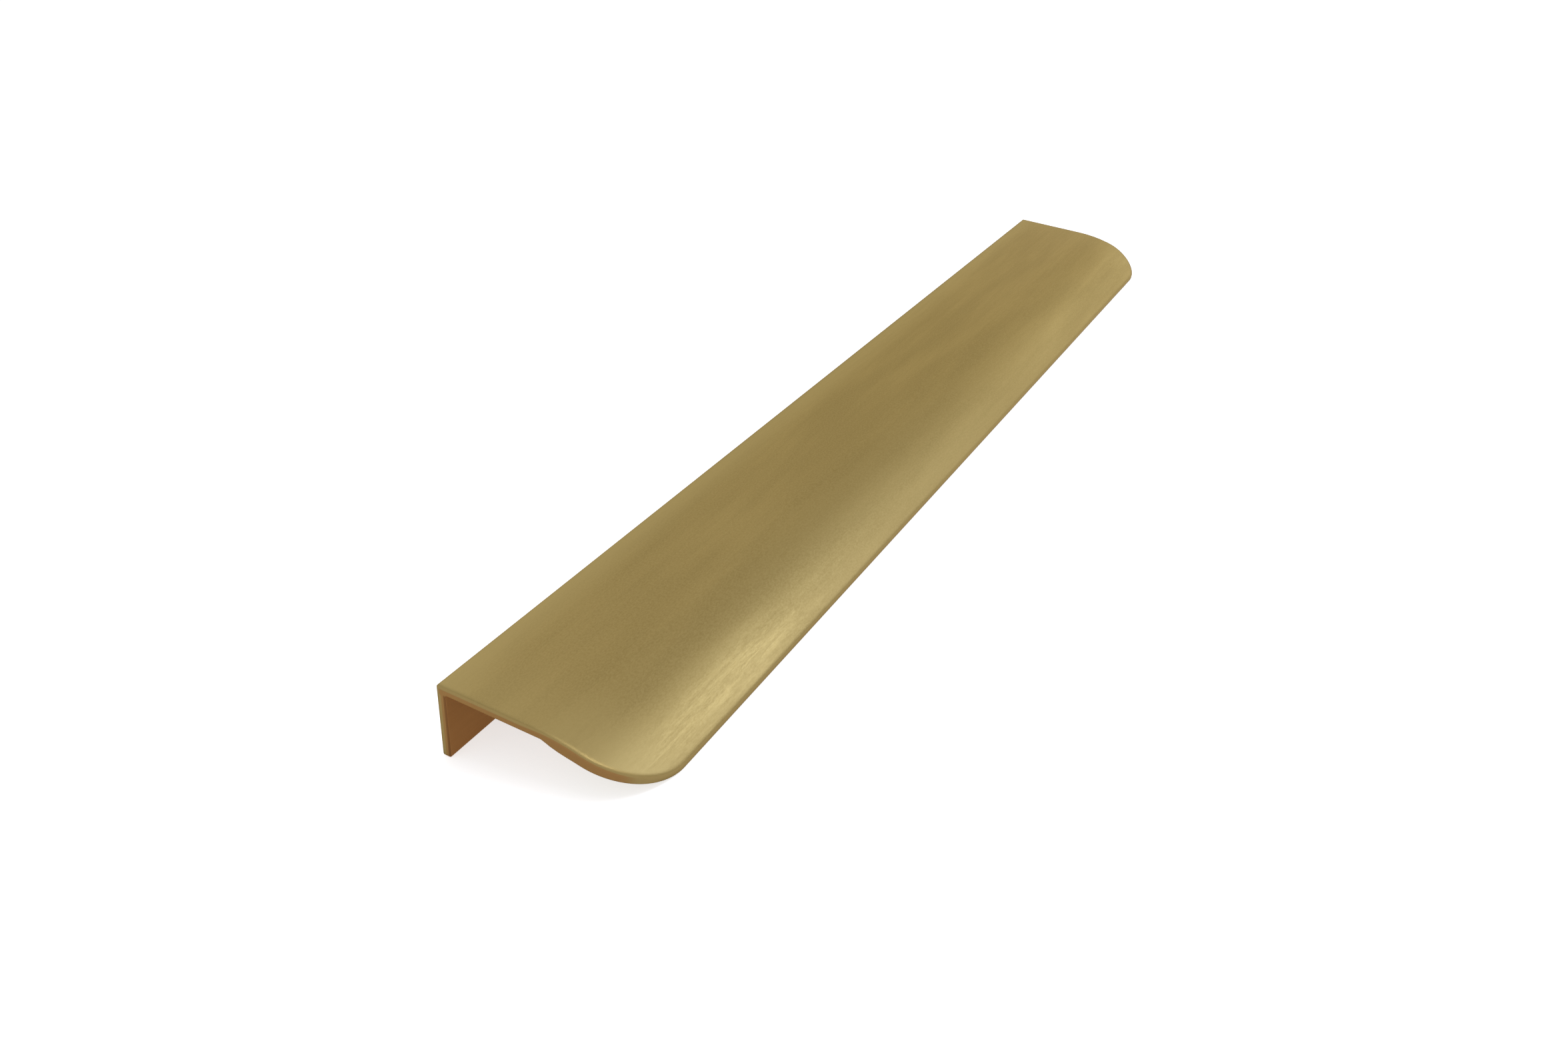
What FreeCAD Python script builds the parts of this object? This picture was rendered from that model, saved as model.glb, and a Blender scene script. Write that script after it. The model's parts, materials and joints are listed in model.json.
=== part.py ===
import FreeCAD, Part
import math
import os

from FreeCAD import Vector

# Finger pull profile for the edge of a drawer front or door: one extruded piece of L-shaped stock.
# A thin plate lies over the edge of the board, a flange hangs down behind it and takes the screws,
# and the front of the plate thickens into a lip that curves down over the fingers.
# Lengths are in millimetres.

# Overall size of the cut length
LENGTH = 300.0
DEPTH = 43.6
FLANGE_HEIGHT = 16.4

# Walls of the extruded section: the lip is thickest at its root, and the tip is measured upright
FLANGE_THICKNESS = 1.9
PLATE_THICKNESS = 1.85
LIP_THICKNESS = 2.75
TIP_THICKNESS = 1.25

# Curves of the section
FLAT_DEPTH = 20.8
CROWN_RADIUS = 42.0
FINGER_RADIUS = 64.0

# Seat for the board, and the length over which the lip thickens in front of it
SEAT_DEPTH = 20.7
SWELL_DEPTH = 5.4

# Rounding left by the die at the corners of the section
BACK_EDGE_RADIUS = 0.5
FOOT_EDGE_RADIUS = 0.4
INNER_CORNER_RADIUS = 0.6

# Milled outline: the front corners seen from above, and the rounding that the brushing leaves
CORNER_RADIUS = 12.8
MILLED_EDGE_RADIUS = 0.35

# Countersunk screw holes in the flange
SCREW_END_DISTANCE = 22.0
SCREW_HOLE_RADIUS = 2.0
SCREW_HEAD_RADIUS = 3.3
COUNTERSINK_HALF_ANGLE = 45.0

# How far a cutting tool runs past the faces it cuts
TOOL_OVERRUN = 1.0

# How closely a face is matched when the milled faces are looked up: an angle in degrees, and a distance
SAME_DIRECTION_ANGLE = 2.5
SAME_PLACE = 0.01

# Directions in the section, which is drawn level: Y points to the back and Z up
BACK = Vector(0, 1, 0)
FRONT = Vector(0, -1, 0)
UP = Vector(0, 0, 1)
DOWN = Vector(0, 0, -1)
ALONG = Vector(1, 0, 0)


def unit(vector):
    return vector * (1.0 / vector.Length)


def line(start, end):
    return Part.LineSegment(start, end).toShape()


def arc_about(centre, start, end):
    # The shorter arc from start to end on the circle about centre
    radius = (start - centre).Length
    middle = centre + unit((start - centre) + (end - centre)) * radius
    return Part.Arc(start, middle, end).toShape()


def square_corner(corner, towards_start, towards_end, radius):
    # A right-angled corner of the section, rounded: its arc, and where the arc starts and ends
    start = corner + towards_start * radius
    end = corner + towards_end * radius
    centre = corner + (towards_start + towards_end) * radius
    return arc_about(centre, start, end), start, end


def lower_meeting_point(centre_a, radius_a, centre_b, radius_b):
    # The lower of the two points where two circles in the section cross
    gap = centre_b - centre_a
    along = (radius_a ** 2 - radius_b ** 2 + gap.Length ** 2) / (2.0 * gap.Length)
    across = math.sqrt(radius_a ** 2 - along ** 2)
    foot = centre_a + unit(gap) * along
    side = unit(gap.cross(ALONG))
    if side.z > 0:
        side = side * -1.0
    return foot + side * across


# Crown: the top face is flat from the back, then follows one arc down to the tip
CROWN_CENTRE = FRONT * FLAT_DEPTH + DOWN * CROWN_RADIUS


def under_crown(depth, thickness):
    # The point this far from the back that lies the given thickness below the crown, square to it
    radius = CROWN_RADIUS - thickness
    angle = math.asin((depth - FLAT_DEPTH) / radius)
    return CROWN_CENTRE + FRONT * (radius * math.sin(angle)) + UP * (radius * math.cos(angle))


# Finger side of the lip: an arc through the lip's root, where it is thickest, and the tip's lower edge
LIP_ROOT = under_crown(FLANGE_THICKNESS + SEAT_DEPTH + SWELL_DEPTH, LIP_THICKNESS)
TIP_TOP = under_crown(DEPTH, 0.0)
TIP_BOTTOM = TIP_TOP + DOWN * TIP_THICKNESS
FINGER_CENTRE = lower_meeting_point(TIP_BOTTOM, FINGER_RADIUS, LIP_ROOT, FINGER_RADIUS)


def on_finger_side(depth, standoff):
    # The point this far from the back that stands the given height off the finger side's arc
    radius = FINGER_RADIUS + standoff
    forward = depth + FINGER_CENTRE.y
    return Vector(0, -depth, FINGER_CENTRE.z + math.sqrt(radius ** 2 - forward ** 2))


# Tip: the centre of its lower edge's rounding, which the part rests on
TIP_CENTRE = on_finger_side(DEPTH - MILLED_EDGE_RADIUS, MILLED_EDGE_RADIUS)

# Foot of the flange: the centre of its inner edge's rounding, which the part rests on
FOOT_INNER_CORNER = FRONT * FLANGE_THICKNESS + DOWN * FLANGE_HEIGHT
FOOT_CENTRE = FOOT_INNER_CORNER + (BACK + UP) * FOOT_EDGE_RADIUS


def section():
    # Crown, from the rounded back edge to past the tip, which is milled off later
    back_edge, back_start, back_end = square_corner(Vector(), DOWN, FRONT, BACK_EDGE_RADIUS)
    crown_start = FRONT * FLAT_DEPTH
    crown_end = under_crown(DEPTH + TOOL_OVERRUN, 0.0)
    finger_start = on_finger_side(DEPTH + TOOL_OVERRUN, 0.0)

    # Swell: an arc that leaves the finger side smoothly and meets the seat in a crease
    crease = FRONT * (FLANGE_THICKNESS + SEAT_DEPTH) + DOWN * PLATE_THICKNESS
    swell_up = unit(LIP_ROOT - FINGER_CENTRE)
    swell_chord = crease - LIP_ROOT
    swell_radius = swell_chord.Length ** 2 / (2.0 * swell_up.dot(swell_chord))
    swell_centre = LIP_ROOT + swell_up * swell_radius

    # Seat, flange and foot
    inner_corner = FRONT * FLANGE_THICKNESS + DOWN * PLATE_THICKNESS
    inner, seat_end, inner_end = square_corner(inner_corner, FRONT, DOWN, INNER_CORNER_RADIUS)
    foot_inner, foot_start, foot_flat_start = square_corner(FOOT_INNER_CORNER, UP, BACK, FOOT_EDGE_RADIUS)
    foot_outer, foot_flat_end, foot_end = square_corner(DOWN * FLANGE_HEIGHT, FRONT, UP, FOOT_EDGE_RADIUS)

    edges = [
        back_edge,
        line(back_end, crown_start),
        arc_about(CROWN_CENTRE, crown_start, crown_end),
        line(crown_end, finger_start),
        arc_about(FINGER_CENTRE, finger_start, LIP_ROOT),
        arc_about(swell_centre, LIP_ROOT, crease),
        line(crease, seat_end),
        inner,
        line(inner_end, foot_start),
        foot_inner,
        line(foot_flat_start, foot_flat_end),
        foot_outer,
        line(foot_end, back_start),
    ]
    return Part.Face(Part.Wire(edges))


def stock():
    # The extruded length, centred along X
    face = section()
    face.translate(ALONG * (-LENGTH / 2.0))
    return face.extrude(ALONG * LENGTH)


def plan_cutter():
    # The outline that the ends are milled to, seen from above: square behind, round at the front
    half = LENGTH / 2.0
    behind = BACK * TOOL_OVERRUN
    side_end = FRONT * (DEPTH - CORNER_RADIUS)
    front = FRONT * DEPTH
    turn_in = half - CORNER_RADIUS
    right_centre = ALONG * turn_in + side_end
    left_centre = ALONG * -turn_in + side_end
    edges = [
        line(ALONG * -half + behind, ALONG * half + behind),
        line(ALONG * half + behind, ALONG * half + side_end),
        arc_about(right_centre, ALONG * half + side_end, ALONG * turn_in + front),
        line(ALONG * turn_in + front, ALONG * -turn_in + front),
        arc_about(left_centre, ALONG * -turn_in + front, ALONG * -half + side_end),
        line(ALONG * -half + side_end, ALONG * -half + behind),
    ]
    outline = Part.Face(Part.Wire(edges))
    bottom = FLANGE_HEIGHT + TOOL_OVERRUN
    outline.translate(DOWN * bottom)
    return outline.extrude(UP * (bottom + TOOL_OVERRUN))


def is_parallel(axis, direction):
    return abs(axis.dot(direction)) > math.cos(math.radians(SAME_DIRECTION_ANGLE))


def is_milled(face):
    # The faces left by the milling stand square to the plan: flat ends, front strip and corners
    surface = face.Surface
    if isinstance(surface, Part.Cylinder):
        return is_parallel(surface.Axis, UP)
    if not isinstance(surface, Part.Plane):
        return False
    if is_parallel(surface.Axis, ALONG):
        return True
    at_front = abs(face.CenterOfMass.y + DEPTH) < SAME_PLACE
    return at_front and is_parallel(surface.Axis, BACK)


def break_edges(body):
    # Every edge between a milled face and the drawn section is lightly rounded by the brushing
    milled = [face for face in body.Faces if is_milled(face)]
    edges = []
    for edge in body.Edges:
        sides = sum(1 for face in milled for other in face.Edges if other.isSame(edge))
        if sides == 1:
            edges.append(edge)
    return body.makeFillet(MILLED_EDGE_RADIUS, edges)


def screw_places():
    # Centres of the screw holes on the flange's back face, half way up its free height
    drop = (PLATE_THICKNESS + FLANGE_HEIGHT) / 2.0
    half = LENGTH / 2.0 - SCREW_END_DISTANCE
    return [ALONG * side + DOWN * drop for side in (-half, half)]


def screw_hole(place):
    # A clearance hole through the flange, countersunk from behind
    start = place + BACK * TOOL_OVERRUN
    through = FLANGE_THICKNESS + 2.0 * TOOL_OVERRUN
    shank = Part.makeCylinder(SCREW_HOLE_RADIUS, through, start, FRONT)
    slope = math.tan(math.radians(COUNTERSINK_HALF_ANGLE))
    mouth_radius = SCREW_HEAD_RADIUS + TOOL_OVERRUN * slope
    cone = Part.makeCone(mouth_radius, 0.0, mouth_radius / slope, start, FRONT)
    return shank.fuse(cone)


def lean_angle():
    # Unheld on a floor, the part tips forward until the foot and the tip both touch, in degrees
    rise = TIP_CENTRE.z - FOOT_CENTRE.z
    run = FOOT_CENTRE.y - TIP_CENTRE.y
    level_tip = math.atan2(rise, run)
    round_difference = math.asin((FOOT_EDGE_RADIUS - MILLED_EDGE_RADIUS) / math.hypot(rise, run))
    return math.degrees(level_tip + round_difference)


def pull_profile():
    body = break_edges(stock().common(plan_cutter()))
    for place in screw_places():
        body = body.cut(screw_hole(place))
    return body.Solids[0]


def rest_placement(body):
    # Lean the part as it rests, then set the middle of its footprint on the origin
    lean = FreeCAD.Placement(Vector(), FreeCAD.Rotation(ALONG, lean_angle()))
    leaned = body.copy()
    leaned.Placement = lean
    box = leaned.optimalBoundingBox(False)
    base = Vector(box.Center.x, box.Center.y, box.ZMin)
    return FreeCAD.Placement(base * -1.0, FreeCAD.Rotation()).multiply(lean)


def main():
    os.makedirs("parts", exist_ok=True)
    body = pull_profile()
    body.Placement = rest_placement(body)
    body.exportStep("parts/pull_profile.step")


main()
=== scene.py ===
# %% [markdown]
# # A brushed brass finger pull, dressed step by step
#
# The part is one length of L-shaped stock that sits on the edge of a drawer front. The CAD model
# already has its true shape: the flat plate, the crowned lip, the flange behind and the two
# countersunk holes. A second mesh would only repeat it, so this lesson keeps the CAD node and adds
# what a solid can't carry, which is the finish, the light and the camera.
# The first cell loads the imported part.

# %% Load the part
import bpy
import json
import math
from mathutils import Matrix, Vector

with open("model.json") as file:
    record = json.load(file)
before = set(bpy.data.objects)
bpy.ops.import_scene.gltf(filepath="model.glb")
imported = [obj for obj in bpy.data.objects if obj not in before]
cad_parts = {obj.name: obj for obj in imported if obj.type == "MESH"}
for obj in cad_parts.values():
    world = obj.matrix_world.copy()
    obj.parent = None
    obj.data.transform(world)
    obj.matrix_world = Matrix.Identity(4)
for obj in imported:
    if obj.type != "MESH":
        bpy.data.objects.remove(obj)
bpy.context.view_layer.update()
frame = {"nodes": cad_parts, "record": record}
pull = frame["nodes"]["pull_profile"]
print("loaded", pull.name, "with", len(pull.data.polygons), "faces")

# %% [markdown]
# ## The section's own directions
#
# Unheld on a table, the pull leans forward on the foot of its flange and the tip of its lip. Its
# grain, its ends and its holes follow the plate, not the table, so it helps to have a second frame
# that leans with it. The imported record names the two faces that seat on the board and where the
# screws go, and the lean and the corner between the seats can be read from those. That is safer
# than copying numbers: if the part is changed and packed again, the finish still lines up.
# In the level frame, X runs along the length, Y points to the back and Z stands on the plate. It
# starts at the top of the flange's back face, in the middle of the length, which is one thickness
# of metal away from each seat.

# %% Find the lean and the level frame
MM = 0.001
PLATE_THICKNESS = 1.85 * MM
FLANGE_THICKNESS = 1.9 * MM

mounts = {mount["name"]: mount for mount in frame["record"]["mounts"]}
plate_down = Vector(mounts["plate_underside"]["axis"])
lean = math.atan2(plate_down.y, -plate_down.z)
turned_to_rest = Matrix.Rotation(lean, 4, "X")

back = turned_to_rest @ Vector((0.0, 1.0, 0.0))
up = turned_to_rest @ Vector((0.0, 0.0, 1.0))
level_origin = (back * (back.dot(Vector(mounts["flange_inner_face"]["pos_m"])) + FLANGE_THICKNESS)
                + up * (up.dot(Vector(mounts["plate_underside"]["pos_m"])) + PLATE_THICKNESS))
level_to_rest = Matrix.Translation(level_origin) @ turned_to_rest
rest_to_level = level_to_rest.inverted()
hole_centres = [rest_to_level @ Vector(mounts[name]["pos_m"])
                for name in ("screw_hole_left", "screw_hole_right")]
print("lean", round(math.degrees(lean), 2), "degrees, holes at",
      [[round(value / MM, 2) for value in centre] for centre in hole_centres], "mm")

# %% [markdown]
# ## Small helpers for nodes
#
# A material is a chain of small nodes, and placing each one by hand takes five lines. A helper does
# it in one: it adds the node, sets its options, and fills each input with a value or links it to a
# socket. Three more wrap the nodes that are used most, which are sums, soft steps and mixed
# colours. A soft step, from 0 to 1 between two values, is what nearly every mask here is made of.

# %% Helpers: nodes
def add(tree, kind, inputs=None, **options):
    """A new node, with its options set and its inputs filled with values or linked to sockets."""
    node = tree.nodes.new(kind)
    for name, value in options.items():
        setattr(node, name, value)
    for name, value in (inputs or {}).items():
        if isinstance(value, bpy.types.NodeSocket):
            tree.links.new(value, node.inputs[name])
        else:
            node.inputs[name].default_value = value
    return node


def maths(tree, operation, first, second=0.5, clamp=False):
    """The result socket of one Math node."""
    return add(tree, "ShaderNodeMath", {0: first, 1: second}, operation=operation,
               use_clamp=clamp).outputs[0]


def fade(tree, value, low, high):
    """0 where value is at or under low, 1 from high up, and smooth between."""
    return add(tree, "ShaderNodeMapRange", {"Value": value, "From Min": low, "From Max": high},
               interpolation_type="SMOOTHSTEP").outputs["Result"]


def blend_colour(tree, factor, first, second):
    """Two colours mixed by factor. A Mix node's colour sockets are its inputs 6 and 7."""
    return add(tree, "ShaderNodeMix", {0: factor, 6: first, 7: second}, data_type="RGBA").outputs[2]


print("node helpers ready")

# %% [markdown]
# ## Small helpers for groups
#
# An effect that could serve more than one finish, or more than one hole, is a node group: built
# once, with named inputs and outputs, and placed wherever it is needed. A group works out where
# something is, how high and which way it faces. The shader itself always stays in the material.

# %% Helpers: groups
def new_group(name, inputs, outputs):
    """An empty node group with named sockets: returns it with its input and output nodes."""
    group = bpy.data.node_groups.new(name, "ShaderNodeTree")
    for label, kind, start in inputs:
        socket = group.interface.new_socket(label, in_out="INPUT", socket_type="NodeSocket" + kind)
        if start is not None:
            socket.default_value = start
    for label, kind in outputs:
        group.interface.new_socket(label, in_out="OUTPUT", socket_type="NodeSocket" + kind)
    return group, group.nodes.new("NodeGroupInput").outputs, group.nodes.new("NodeGroupOutput")


def put_out(group, group_output, **results):
    """Links each result to the group output of that name."""
    for label, socket in results.items():
        group.links.new(socket, group_output.inputs[label])
    print(group.name, "has", len(group.nodes), "nodes and puts out", list(results))


def use_group(tree, group, inputs=None):
    """Places a node group in a tree, and returns its outputs."""
    return add(tree, "ShaderNodeGroup", inputs, node_tree=group).outputs


print("group helpers ready")

# %% [markdown]
# ## Effect: brushed grain
#
# Brushing draws an abrasive belt along the length, so the surface is covered with hairlines that
# are many times longer than wide. An image of scratches would repeat and blur. Noise stretched
# along X gives the same look at any distance. Four layers make it: fine hairlines, broader drag
# lines, soft bands where the belt pressed harder, and short specks where a grit only nicked the
# surface. Close by, the specks keep the hairlines from looking combed.
# The group puts out a height for the bump, and three masks for colour and roughness.

# %% Build the brushed grain group
# Spots a metre, along the length and across it
HAIRLINES = (520.0, 5000.0)
DRAG_LINES = (70.0, 1000.0)
BANDS = (16.0, 120.0)
SPECKS = (1700.0, 3000.0)


def stretched_noise(tree, vector, spots, detail, roughness):
    """Noise whose spots are long in X and narrow across."""
    along, across = spots
    scaled = add(tree, "ShaderNodeVectorMath", {0: vector, 1: (along, across, across)},
                 operation="MULTIPLY").outputs[0]
    return add(tree, "ShaderNodeTexNoise", {"Vector": scaled, "Scale": 1.0, "Detail": detail,
                                            "Roughness": roughness}).outputs["Fac"]


grain, grain_in, grain_out = new_group(
    "brushed grain",
    [("Vector", "Vector", None), ("Hairline weight", "Float", 1.0),
     ("Drag line weight", "Float", 0.15), ("Speck weight", "Float", 0.7)],
    [("Height", "Float"), ("Hairlines", "Float"), ("Bands", "Float"), ("Specks", "Float")])
hairlines = stretched_noise(grain, grain_in["Vector"], HAIRLINES, 3.0, 0.65)
drag_lines = stretched_noise(grain, grain_in["Vector"], DRAG_LINES, 2.0, 0.6)
bands = stretched_noise(grain, grain_in["Vector"], BANDS, 2.0, 0.55)
specks = stretched_noise(grain, grain_in["Vector"], SPECKS, 3.0, 0.75)

height = maths(grain, "MULTIPLY", hairlines, grain_in["Hairline weight"])
for layer, weight in ((drag_lines, "Drag line weight"), (specks, "Speck weight")):
    height = maths(grain, "ADD", height, maths(grain, "MULTIPLY", layer, grain_in[weight]))
both = maths(grain, "ADD", maths(grain, "MULTIPLY", hairlines, 0.6),
             maths(grain, "MULTIPLY", drag_lines, 0.4))
put_out(grain, grain_out, Height=height, Hairlines=fade(grain, both, 0.36, 0.64),
        Bands=fade(grain, bands, 0.34, 0.66), Specks=fade(grain, specks, 0.32, 0.68))

# %% [markdown]
# ## Effect: soft edges
#
# The belt runs over every outer edge and takes its sharpness off, so a soft band of light or shade
# shows there and not a knife edge. The part's own edges are only lightly rounded. The Bevel node
# gives the normal as if they were rounded further, with no extra geometry, and the shading
# follows it. Its radius is an input, because an edge that the belt doesn't reach stays crisp.
# Where that normal differs from the true one there is an edge, and the same difference, broken up
# by a noise because rubbing is never even, makes a mask for paler, smoother metal: partly rubbed
# metal and partly a painted highlight along the edges.

# %% Build the soft edges group
soft, soft_in, soft_out = new_group(
    "soft edges",
    [("Vector", "Vector", None), ("Radius", "Float", 0.7 * MM)],
    [("Normal", "Vector"), ("Wear", "Float")])
rounded = add(soft, "ShaderNodeBevel", {"Radius": soft_in["Radius"]}, samples=8).outputs[0]
true_normal = add(soft, "ShaderNodeNewGeometry").outputs["Normal"]
agreement = add(soft, "ShaderNodeVectorMath", {0: rounded, 1: true_normal},
                operation="DOT_PRODUCT").outputs["Value"]
edges = fade(soft, maths(soft, "SUBTRACT", 1.0, agreement), 0.015, 0.22)
patches = add(soft, "ShaderNodeTexNoise", {"Vector": soft_in["Vector"], "Scale": 260.0,
                                           "Detail": 3.0}).outputs["Fac"]
# Paler, smoother edges: partly rubbed metal, partly a painted highlight
rubbed_and_highlight = maths(soft, "MULTIPLY", edges, fade(soft, patches, 0.3, 0.62))
put_out(soft, soft_out, Normal=rounded, Wear=rubbed_and_highlight)

# %% [markdown]
# ## Effect: turned rings
#
# A countersink is cut by a turning tool, so its cone carries fine rings about the hole's axis and
# not the straight grain of the belt. The distance from the axis, fed to a sine, draws them. The
# same distance gives two masks: one says where the cone is, and a wider one says where the cone's
# rim is near, which stays crisp because it is cut after the belt. The holes' places come from the
# record.

# %% Build the turned rings group
CONE_RADIUS = 3.4 * MM
NEARBY = 1.4
RING_PHASE = 42000.0  # radians a metre, which is a ring every 0.15 mm

rings, rings_in, rings_out = new_group(
    "turned rings",
    [("Vector", "Vector", None), ("Centre", "Vector", None), ("Radius", "Float", CONE_RADIUS)],
    [("Mask", "Float"), ("Nearby", "Float"), ("Height", "Float")])
from_centre = add(rings, "ShaderNodeVectorMath", {0: rings_in["Vector"], 1: rings_in["Centre"]},
                  operation="SUBTRACT").outputs[0]
across_axis = add(rings, "ShaderNodeVectorMath", {0: from_centre, 1: (1.0, 0.0, 1.0)},
                  operation="MULTIPLY").outputs[0]
distance = add(rings, "ShaderNodeVectorMath", {0: across_axis}, operation="LENGTH").outputs["Value"]
inside = maths(rings, "LESS_THAN", distance, rings_in["Radius"])
nearby = maths(rings, "LESS_THAN", distance, maths(rings, "MULTIPLY", rings_in["Radius"], NEARBY))
wave = maths(rings, "SINE", maths(rings, "MULTIPLY", distance, RING_PHASE))
put_out(rings, rings_out, Mask=inside, Nearby=nearby, Height=maths(rings, "MULTIPLY", wave, inside))

# %% [markdown]
# ## Material: brushed brass-coloured metal
#
# The pull is dyed to a soft olive brass and brushed along its length. It is a plain metal: what it
# shows is nearly all reflection, so the colour, the roughness and the direction of the grain decide
# the look. The base is written at its true value and the details only move it a little.
# One material serves the whole piece, since the real one is a single length of stock. The tones
# that handling and cutting leave, and painted highlight, painted light and painted shade, are laid
# over it by masks, which are worked out in the level frame from where a point is and which way it
# faces. That needs no painted map and no seams.

# %% Start the brass material
brass = bpy.data.materials.new("brushed_brass")
brass.use_nodes = True
tree = brass.node_tree
tree.nodes.clear()
output = add(tree, "ShaderNodeOutputMaterial")
shader = add(tree, "ShaderNodeBsdfPrincipled")
tree.links.new(shader.outputs["BSDF"], output.inputs["Surface"])

here = add(tree, "ShaderNodeTexCoord").outputs["Object"]
move, turn, _ = rest_to_level.decompose()
level_place = add(tree, "ShaderNodeMapping", {"Vector": here, "Location": move,
                                              "Rotation": turn.to_euler()},
                  vector_type="POINT").outputs[0]
place_parts = add(tree, "ShaderNodeSeparateXYZ", {0: level_place}).outputs
print("material started:", brass.name)

# %% [markdown]
# ### How deep a point lies under the outer skin
#
# On a cut end the tone changes with the distance from the brushed skin, and the outer edges are
# softer than the inner ones. Both need to know how far a point lies under the skin, which is the
# flat, the crown's arc or the back face, whichever is nearest. That is plain geometry: a height
# under a flat, a radius from the crown's centre, and a distance in front of the back face.

# %% Measure the depth under the skin
CROWN_START = 20.8 * MM
CROWN_RADIUS = 42.0 * MM
past_the_flat = maths(tree, "MINIMUM", maths(tree, "ADD", place_parts["Y"], CROWN_START), 0.0)
over_the_centre = maths(tree, "ADD", place_parts["Z"], CROWN_RADIUS)
reach = add(tree, "ShaderNodeCombineXYZ", {"X": past_the_flat, "Y": over_the_centre}).outputs[0]
crown_distance = add(tree, "ShaderNodeVectorMath", {0: reach}, operation="LENGTH").outputs["Value"]
under_the_top = maths(tree, "SUBTRACT", CROWN_RADIUS, crown_distance)
before_the_back = maths(tree, "MULTIPLY", place_parts["Y"], -1.0)
skin_depth = maths(tree, "MINIMUM", under_the_top, before_the_back)

# To the eye the belt rounds the outer edges by over a millimetre, and leaves the inner ones crisp
SOFT_EDGE = 1.2 * MM
CRISP_EDGE = 0.2 * MM
well_inside = fade(tree, skin_depth, 0.6 * MM, 1.2 * MM)
edge_radius = maths(tree, "SUBTRACT", SOFT_EDGE,
                    maths(tree, "MULTIPLY", well_inside, SOFT_EDGE - CRISP_EDGE))
print("skin depth follows the flat, a crown of", CROWN_RADIUS / MM, "mm and the back face")

# %% [markdown]
# ### Which way a face looks, and where it is
#
# A normal's share along an axis is 1 where the face looks straight that way, 0 where it is seen
# side-on, and negative where it looks the other way. A soft step on that share is a mask that turns
# with a rounding, as the real tones do. A soft step on a coordinate tells the regions apart: the
# lip in front, and the flange behind and under the plate.

# %% Mask directions and regions
face_normal = add(tree, "ShaderNodeNewGeometry").outputs["Normal"]
level_normal = add(tree, "ShaderNodeMapping", {"Vector": face_normal, "Rotation": turn.to_euler()},
                   vector_type="NORMAL").outputs[0]
normal_parts = add(tree, "ShaderNodeSeparateXYZ", {0: level_normal}).outputs
looks_up = fade(tree, normal_parts["Z"], 0.1, 0.6)
looks_down = fade(tree, maths(tree, "MULTIPLY", normal_parts["Z"], -1.0), 0.15, 0.6)
looks_back = fade(tree, normal_parts["Y"], 0.15, 0.65)
squarely_back = fade(tree, normal_parts["Y"], 0.7, 0.98)
squarely_forward = fade(tree, maths(tree, "MULTIPLY", normal_parts["Y"], -1.0), 0.8, 0.98)
upright = maths(tree, "SUBTRACT", 1.0, maths(tree, "MAXIMUM", looks_up, looks_back))

under_the_plate = fade(tree, maths(tree, "MULTIPLY", place_parts["Z"], -1.0), 1.6 * MM, 2.1 * MM)
by_the_flange = fade(tree, place_parts["Y"], -12.0 * MM, -6.0 * MM)
on_the_flange = maths(tree, "MULTIPLY", under_the_plate, by_the_flange)
on_the_lip = maths(tree, "SUBTRACT", 1.0, fade(tree, place_parts["Y"], -27.0 * MM, -17.0 * MM))
print("masked: six directions and three regions")

# %% [markdown]
# ### The cut ends
#
# The stock is sawn to length and its front corners are milled round. A cut face is painted browner
# than the brushed skin: painted shade, the tone that the ends show where they turn from the light.
# It could be given a material of its own, but the border isn't sharp: the pale skin reaches a
# little way over the outer edge. So a mask is better. It takes faces that stand upright and look
# along the length, and starts only some tenths of a millimetre under the skin. A rounded corner
# turns from cut end to brushed front, and the tone changes half way round it. The rounding between
# the top and a cut face is painted paler than both: painted light.

# %% Mask the cut ends and the rounded edges
# How far the pale skin reaches over a cut end
WRAP_ON_PLATE = 0.6 * MM
WRAP_ON_LIP = 0.2 * MM
WRAP_ON_FLANGE = 0.9 * MM

along_the_length = maths(tree, "ABSOLUTE", normal_parts["X"])
cut = maths(tree, "MULTIPLY", upright, fade(tree, along_the_length, 0.68, 0.86))
wrap = maths(tree, "SUBTRACT", WRAP_ON_PLATE,
             maths(tree, "MULTIPLY", on_the_lip, WRAP_ON_PLATE - WRAP_ON_LIP))
wrap = maths(tree, "ADD", wrap,
             maths(tree, "MULTIPLY", on_the_flange, WRAP_ON_FLANGE - WRAP_ON_PLATE))
past_the_wrap = fade(tree, maths(tree, "SUBTRACT", skin_depth, wrap), -0.1 * MM, 0.15 * MM)
# Painted shade: the cut ends are painted browner than the skin
cut_painted_shade = maths(tree, "MULTIPLY", cut, past_the_wrap)

# Painted light: faces that turn away from the top, such as the rounding beside a cut face, are
# painted paler
off_the_top = maths(tree, "SUBTRACT", 1.0, fade(tree, normal_parts["Z"], 0.6, 0.98))
rounding_painted_light = maths(tree, "SUBTRACT", off_the_top, maths(tree, "MAXIMUM", squarely_back, cut_painted_shade),
                  clamp=True)
print("masked: cut ends and rounded edges")

# %% [markdown]
# ### The inner faces
#
# The two faces that seat on the board are never brushed, and keep the duller, browner skin that
# the die left. One is the inner face of the flange, which looks forward. The other is the
# underside of the plate, as far forward as the crease where the lip swells. In front of the crease
# the finger side is brushed again. The inner edge of the flange's end is painted darkest: painted
# shade, where the light doesn't reach.

# %% Mask the inner faces
behind_the_crease = fade(tree, place_parts["Y"], -23.2 * MM, -22.4 * MM)
inner = maths(tree, "MAXIMUM", maths(tree, "MULTIPLY", looks_down, behind_the_crease),
              maths(tree, "MULTIPLY", squarely_forward, by_the_flange))
# Painted shade: the inner edge of the flange's end is painted dark brown
inner_edge_painted_shade = fade(tree, before_the_back, 1.35 * MM, 1.6 * MM)
for limit in (on_the_flange, upright):
    inner_edge_painted_shade = maths(tree, "MULTIPLY", inner_edge_painted_shade, limit)
print("masked: inner faces and the flange's inner edge")
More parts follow.
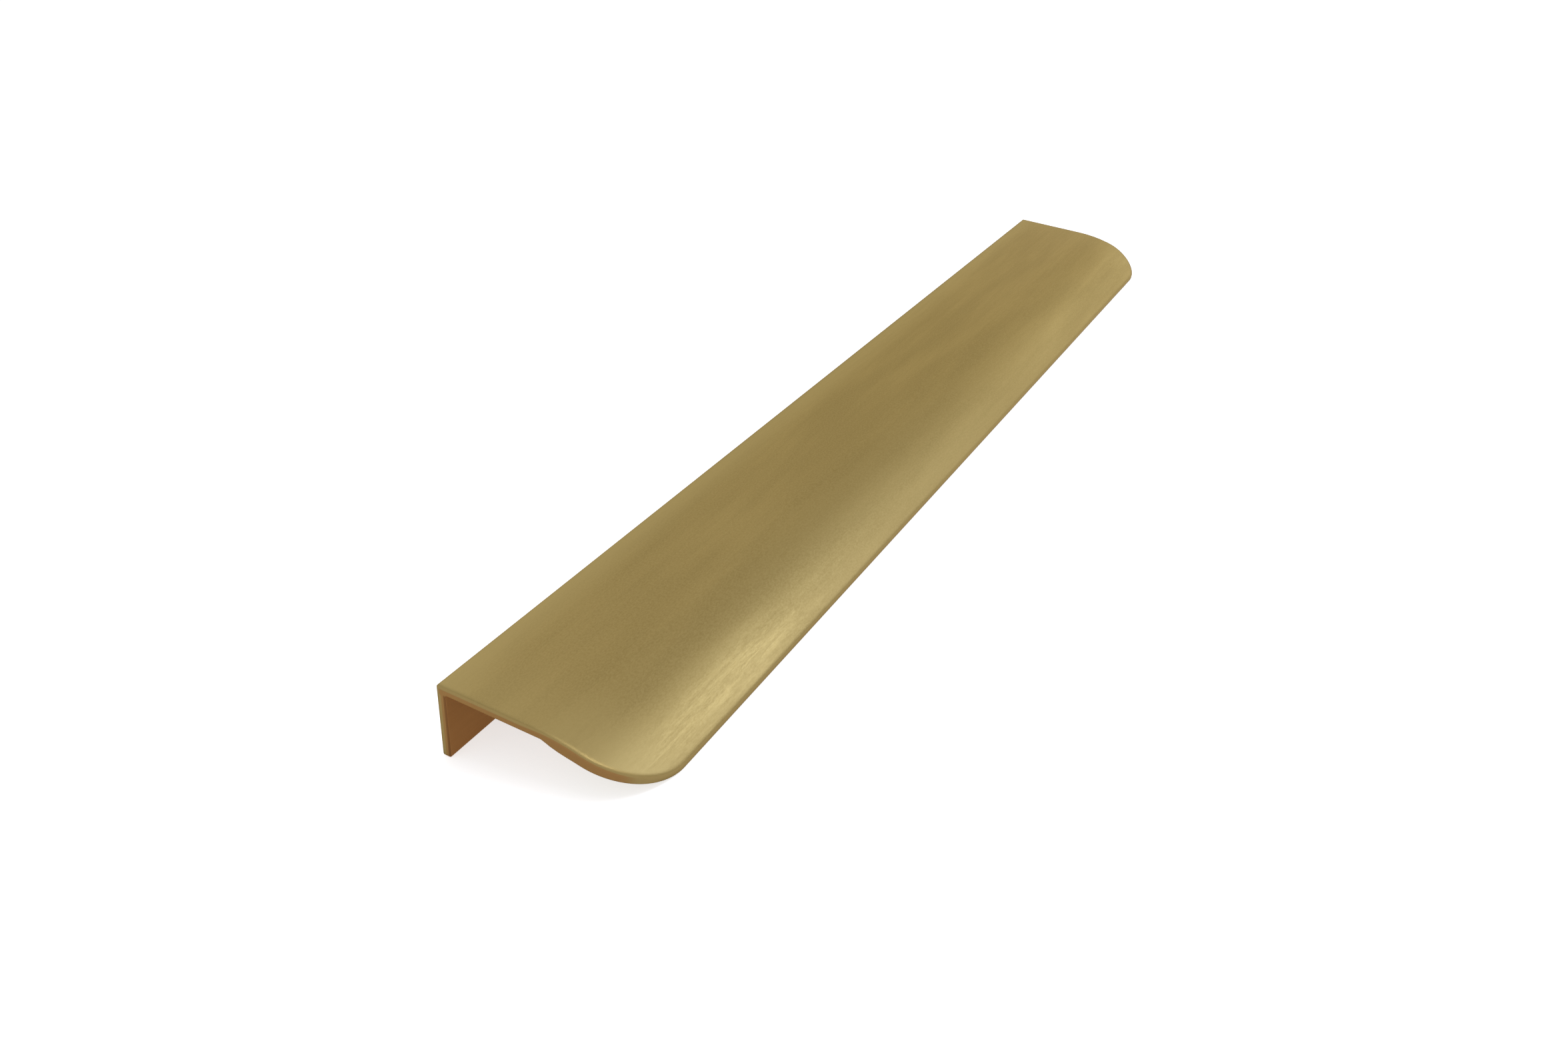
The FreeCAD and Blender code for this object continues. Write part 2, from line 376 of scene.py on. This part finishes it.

# %% [markdown]
# ### The ends of the top
#
# The ends of the length are painted paler, most of all on the raised crown and more at one end
# than at the other: a painted highlight. The top is also painted paler towards its back edge.
# A fade along X and one along Y are all that it takes.

# %% Mask the pale ends and the back edge
# The fade along X covers the last 20 mm of the length
HALF_LENGTH = 150.0 * MM
FADE_START = HALF_LENGTH - 20.0 * MM
FAR_END_SHARE = 0.5

near_end = fade(tree, maths(tree, "MULTIPLY", place_parts["X"], -1.0), FADE_START, HALF_LENGTH)
far_end = maths(tree, "MULTIPLY", fade(tree, place_parts["X"], FADE_START, HALF_LENGTH),
                FAR_END_SHARE)
on_the_crown = maths(tree, "SUBTRACT", 1.0, fade(tree, place_parts["Y"], -26.0 * MM, -20.0 * MM))
share = maths(tree, "ADD", maths(tree, "MULTIPLY", on_the_crown, 0.4), 0.4)
# Painted highlight: the ends of the top are painted paler, most of all on the crown
ends_painted_highlight = maths(tree, "MULTIPLY", maths(tree, "MAXIMUM", near_end, far_end), share)
back_edge = fade(tree, place_parts["Y"], -8.0 * MM, 0.0)
print("masked: pale ends and back edge")

# %% [markdown]
# ### Placing the effects
#
# The groups made above are placed once each, on level coordinates, so that the grain runs along
# the plate and not along the table. The rings are placed at each screw hole and kept to the flange,
# because a circle seen from the front also crosses the lip. Where they are, the grain is left out,
# and near them the soft edges get a tenth of their radius.

# %% Place the groups
lines = use_group(tree, grain, {"Vector": level_place})
left, right = (use_group(tree, rings, {"Vector": level_place, "Centre": centre})
               for centre in hole_centres)
turned = maths(tree, "MULTIPLY", maths(tree, "MAXIMUM", left["Mask"], right["Mask"]),
               on_the_flange)
ring_height = maths(tree, "MULTIPLY", maths(tree, "ADD", left["Height"], right["Height"]),
                    on_the_flange)
by_a_hole = maths(tree, "MULTIPLY", maths(tree, "MAXIMUM", left["Nearby"], right["Nearby"]),
                  on_the_flange)
in_the_hole = maths(tree, "SUBTRACT", turned, squarely_back, clamp=True)

crispness = maths(tree, "SUBTRACT", 1.0, maths(tree, "MULTIPLY", by_a_hole, 0.9))
edge = use_group(tree, soft, {"Vector": level_place,
                              "Radius": maths(tree, "MULTIPLY", edge_radius, crispness)})
print("groups placed in", brass.name)

# %% [markdown]
# ### Colour
#
# Under the belt's lines the dye is a little deeper in the valleys and paler on the specks, and the
# broad bands shift the tone between olive and gold by a few percent. Paler rubbed edges with a
# painted highlight, the painted highlight on the ends, the painted light beside the cut faces, the
# painted shade of the cut ends and the flange's inner edge, and the tones of the inner faces and
# the countersinks are laid over that in turn, from the widest to the smallest, so each mask only
# has to be right where nothing comes after it.

# %% Mix the colour
GOLD = (0.233, 0.169, 0.059, 1.0)
OLIVE = (0.198, 0.142, 0.048, 1.0)
# Pale gold for the specks and rubbed edges, and also the painted highlight on the ends
PALE_GOLD_AND_HIGHLIGHT = (0.276, 0.209, 0.080, 1.0)
# Painted light: the paler gold of the faces that turn away from the top
PAINTED_LIGHT_GOLD = (0.305, 0.220, 0.084, 1.0)
# Painted shade: the browner tone of the cut ends
PAINTED_SHADE_CUT_BROWN = (0.290, 0.160, 0.056, 1.0)
# Painted shade: the dark brown of the flange's inner edge
PAINTED_SHADE_EDGE_BROWN = (0.195, 0.091, 0.031, 1.0)
INNER_BROWN = (0.385, 0.188, 0.066, 1.0)
TURNED_GOLD = (0.345, 0.255, 0.105, 1.0)

skin = blend_colour(tree, lines["Bands"], OLIVE, GOLD)
valleys = maths(tree, "SUBTRACT", 1.0, lines["Hairlines"])
# Painted highlight: rubbed edges and the ends. Painted light: beside the cut faces. Painted shade:
# the cut ends and the flange's inner edge.
for mask, strength, tone in ((valleys, 0.4, OLIVE),
                             (lines["Specks"], 0.5, PALE_GOLD_AND_HIGHLIGHT),
                             (back_edge, 0.9, PALE_GOLD_AND_HIGHLIGHT),
                             (edge["Wear"], 0.3, PALE_GOLD_AND_HIGHLIGHT),
                             (ends_painted_highlight, 1.0, PALE_GOLD_AND_HIGHLIGHT),
                             (rounding_painted_light, 1.0, PAINTED_LIGHT_GOLD),
                             (cut_painted_shade, 1.0, PAINTED_SHADE_CUT_BROWN),
                             (inner_edge_painted_shade, 1.0, PAINTED_SHADE_EDGE_BROWN),
                             (inner, 1.0, INNER_BROWN),
                             (in_the_hole, 1.0, TURNED_GOLD)):
    skin = blend_colour(tree, maths(tree, "MULTIPLY", mask, strength), skin, tone)
tree.links.new(skin, shader.inputs["Base Color"])
print("gold", GOLD[:3], "olive", OLIVE[:3])

# %% [markdown]
# ### Roughness
#
# A brushed face is neither matt nor mirror: about 0.4. Hairlines and bands are a little smoother on
# their crests, which is what breaks a highlight into streaks. Rubbed edges and turned cones are
# smoother and the inner faces duller. Each of these only adds to one number or takes from it.

# %% Mix the roughness
BRUSHED = 0.42
rough = BRUSHED
for mask, change in ((lines["Hairlines"], -0.07), (lines["Bands"], -0.04), (inner, 0.08),
                     (edge["Wear"], -0.08), (in_the_hole, -0.1)):
    rough = maths(tree, "ADD", rough, maths(tree, "MULTIPLY", mask, change))
tree.links.new(rough, shader.inputs["Roughness"])
print("roughness", BRUSHED, "before hairlines, bands, inner faces, wear and turned cones")

# %% [markdown]
# ### Relief and the direction of the grain
#
# The lines are only thousandths of a millimetre deep, so they are a bump on top of the softened
# normal. They are also far finer than any picture shows, and what the eye gets from them is that a
# highlight spreads across the grain and not along it. The shader's anisotropy does that, with a
# tangent that runs along the length. It must lean slightly off the X axis, because a tangent that
# meets the normal of the end faces exactly has no direction left there.
# Seen at a low angle a plain metal turns white. This dyed skin stays brass, so its edge tint, which
# is the Specular Tint socket on a metal, is lowered.

# %% Raise the relief and lay the grain
RELIEF_DEPTH = 0.01 * MM
RELIEF_STRENGTH = 0.33
RING_STRENGTH = 0.4

straight = maths(tree, "MULTIPLY", lines["Height"], maths(tree, "SUBTRACT", 1.0, turned))
relief = maths(tree, "ADD", straight, maths(tree, "MULTIPLY", ring_height, RING_STRENGTH))
bump = add(tree, "ShaderNodeBump", {"Height": relief, "Strength": RELIEF_STRENGTH,
                                    "Distance": RELIEF_DEPTH, "Normal": edge["Normal"]})
tree.links.new(bump.outputs["Normal"], shader.inputs["Normal"])
along_grain = add(tree, "ShaderNodeCombineXYZ", {"X": 1.0, "Y": 0.03, "Z": 0.02}).outputs[0]
tree.links.new(along_grain, shader.inputs["Tangent"])
for socket, value in (("Metallic", 1.0), ("Specular Tint", (0.80, 0.71, 0.55, 1.0)),
                      ("Anisotropic", 0.45), ("Anisotropic Rotation", 0.25)):
    shader.inputs[socket].default_value = value
print("relief raised, grain laid along the length")

# %% [markdown]
# ### On to the part
#
# The loaded part may come with one slot or more. The material goes into each slot that is there,
# and a slot is added if there is none. The mesh itself isn't touched.

# %% Put the material on the part
for place in range(max(1, len(pull.data.materials))):
    if place < len(pull.material_slots):
        pull.material_slots[place].material = brass
    else:
        pull.data.materials.append(brass)
print("slots:", [slot.material.name for slot in pull.material_slots])

# %% [markdown]
# ## Floor
#
# The photograph shows the pull on plain white. A pure glowing floor would do that, but then the part
# would float. So the floor is a pale paint that keeps the soft shadow under the part, and a glow
# that only camera, glossy and transmission rays see lifts it to white. No extra light falls on the
# metal, and the metal mirrors the same pale floor that the camera sees.

# %% Lay the floor
WHITE = (1.0, 1.0, 1.0, 1.0)
FLOOR_PAINT = (0.76, 0.76, 0.76, 1.0)
GLOW_SEEN = 0.68
GLOW_MIRRORED = 0.42

bpy.ops.mesh.primitive_plane_add(size=40.0, location=(0.0, 0.0, 0.0))
floor = bpy.context.object
floor.name = "studio_floor"
floor_look = bpy.data.materials.new("pale_floor")
floor_look.use_nodes = True
floor_tree = floor_look.node_tree
floor_tree.nodes.clear()
floor_out = add(floor_tree, "ShaderNodeOutputMaterial")
paint = add(floor_tree, "ShaderNodeBsdfDiffuse", {"Color": FLOOR_PAINT})
rays = add(floor_tree, "ShaderNodeLightPath").outputs
mirrored = maths(floor_tree, "MAXIMUM", rays["Is Glossy Ray"], rays["Is Transmission Ray"])
glow_level = maths(floor_tree, "ADD", maths(floor_tree, "MULTIPLY", rays["Is Camera Ray"], GLOW_SEEN),
                   maths(floor_tree, "MULTIPLY", mirrored, GLOW_MIRRORED))
glow = add(floor_tree, "ShaderNodeEmission", {"Color": WHITE, "Strength": glow_level})
summed = add(floor_tree, "ShaderNodeAddShader", {0: paint.outputs[0], 1: glow.outputs[0]})
floor_tree.links.new(summed.outputs[0], floor_out.inputs["Surface"])
floor.data.materials.append(floor_look)
print("floor laid,", floor.dimensions.x, "m square")

# %% [markdown]
# ## Light: the room
#
# Brushed metal shows the room more than itself. The room is a plain white world: strength 1 where
# the camera or a reflection looks straight at it, and half of that as light on matt surfaces,
# because the lamps do the rest. With a white room the metal renders about as its colour is written.

# %% Set the world
ROOM_LIGHT = 0.5
ROOM_SEEN = 1.0

world = bpy.data.worlds.new("studio")
bpy.context.scene.world = world
world.use_nodes = True
sky = world.node_tree
sky.nodes.clear()
sky_out = add(sky, "ShaderNodeOutputWorld")
room = add(sky, "ShaderNodeBackground", {"Color": WHITE, "Strength": ROOM_LIGHT})
backdrop = add(sky, "ShaderNodeBackground", {"Color": WHITE, "Strength": ROOM_SEEN})
sky_rays = add(sky, "ShaderNodeLightPath").outputs
seen = maths(sky, "MAXIMUM", sky_rays["Is Glossy Ray"], sky_rays["Is Transmission Ray"])
seen = maths(sky, "MAXIMUM", sky_rays["Is Camera Ray"], seen)
chosen = add(sky, "ShaderNodeMixShader", {0: seen, 1: room.outputs[0], 2: backdrop.outputs[0]})
sky.links.new(chosen.outputs[0], sky_out.inputs["Surface"])
print("room light", ROOM_LIGHT, "and seen at", ROOM_SEEN)

# %% [markdown]
# ## Light: the lamps
#
# A curved face shows a lamp where its normal points half way between the lamp and the eye. The
# photograph's highlight runs along the crown and is brightest near the close end, and that gives
# the key lamp's direction: in front, to the right and 39 degrees up. A cooler colour takes some
# yellow out of the highlight, as in the photograph. A second line of light on the lip's cut edge
# comes from nearly overhead. The low and far lamps are weak. They fill the far end of the plate,
# which mirrors what is close to the horizon. Each strength was found by rendering that lamp alone
# and weighing all of them against the photograph's tones, place by place on the part.

# %% Hang the lamps
LAMP_DISTANCE = 1.6
DAYLIGHT = (0.85, 1.0, 1.42)
NEAR_WHITE = (1.0, 1.0, 1.15)
# Azimuth and elevation in degrees, width in metres, brightness of its face, colour
LAMPS = {
    "key": (-35.0, 39.0, 0.45, 4.45, DAYLIGHT),
    "high_front": (-60.0, 66.0, 0.6, 3.2, NEAR_WHITE),
    "overhead": (-90.0, 80.0, 0.6, 2.2, NEAR_WHITE),
    "low_strip": (-12.0, 18.0, 0.3, 1.35, DAYLIGHT),
    "low_front": (-30.0, 15.0, 0.9, 0.4, DAYLIGHT),
    "low_far": (0.0, 15.0, 0.9, 0.36, NEAR_WHITE),
    "low_back": (60.0, 18.0, 0.9, 0.3, NEAR_WHITE),
    "high_far": (30.0, 42.0, 0.9, 0.36, NEAR_WHITE),
    "high_side": (60.0, 40.0, 0.6, 0.48, NEAR_WHITE),
}


def soft_lamp(name, azimuth, elevation, width, radiance, colour):
    """A square area lamp in that direction, seen from the part, facing it, of that brightness."""
    az, el = math.radians(azimuth), math.radians(elevation)
    direction = Vector((math.cos(el) * math.cos(az), math.cos(el) * math.sin(az), math.sin(el)))
    data = bpy.data.lights.new(name, "AREA")
    data.shape = "SQUARE"
    data.size = width
    data.color = colour
    # A square lamp of this area and power in watts has this radiance over its face
    data.energy = radiance * math.pi * width * width
    lamp = bpy.data.objects.new(name, data)
    bpy.context.scene.collection.objects.link(lamp)
    lamp.location = direction * LAMP_DISTANCE
    lamp.rotation_euler = (-direction).to_track_quat("-Z", "Y").to_euler()
    print(name, "azimuth", azimuth, "elevation", elevation, "radiance", radiance)


for lamp_name, settings in LAMPS.items():
    soft_lamp(lamp_name, *settings)

# %% [markdown]
# ## Camera
#
# The camera's place, direction and lens were worked out beforehand from the outline in the
# photograph: with the part's real size known, only one camera draws all its corners where they
# are. They are written in the level frame, and the same matrix that leans the part turns them.

# %% Place the camera
CAMERA_PLACE = Vector((-0.280138, -0.130505, 0.150172))
CAMERA_RIGHT = Vector((0.480343, -0.874902, 0.061772))
CAMERA_DOWN = Vector((-0.447062, -0.304824, -0.840962))
CAMERA_FORWARD = Vector((0.754589, 0.376335, -0.537556))

camera_data = bpy.data.cameras.new("view")
camera_data.sensor_width = 36.0
camera_data.lens = 29.942
camera_data.clip_start = 0.01
camera_data.clip_end = 100.0
camera = bpy.data.objects.new("view", camera_data)
bpy.context.scene.collection.objects.link(camera)
columns = Matrix((CAMERA_RIGHT, -CAMERA_DOWN, -CAMERA_FORWARD)).transposed().to_4x4()
camera.matrix_world = level_to_rest @ Matrix.Translation(CAMERA_PLACE) @ columns
bpy.context.scene.camera = camera
print("camera at", [round(value, 4) for value in camera.matrix_world.translation])

# %% [markdown]
# ## Picture settings
#
# The Standard view shows colours as they are written.

# %% Finish
bpy.context.scene.view_settings.view_transform = "Standard"
bpy.context.view_layer.update()
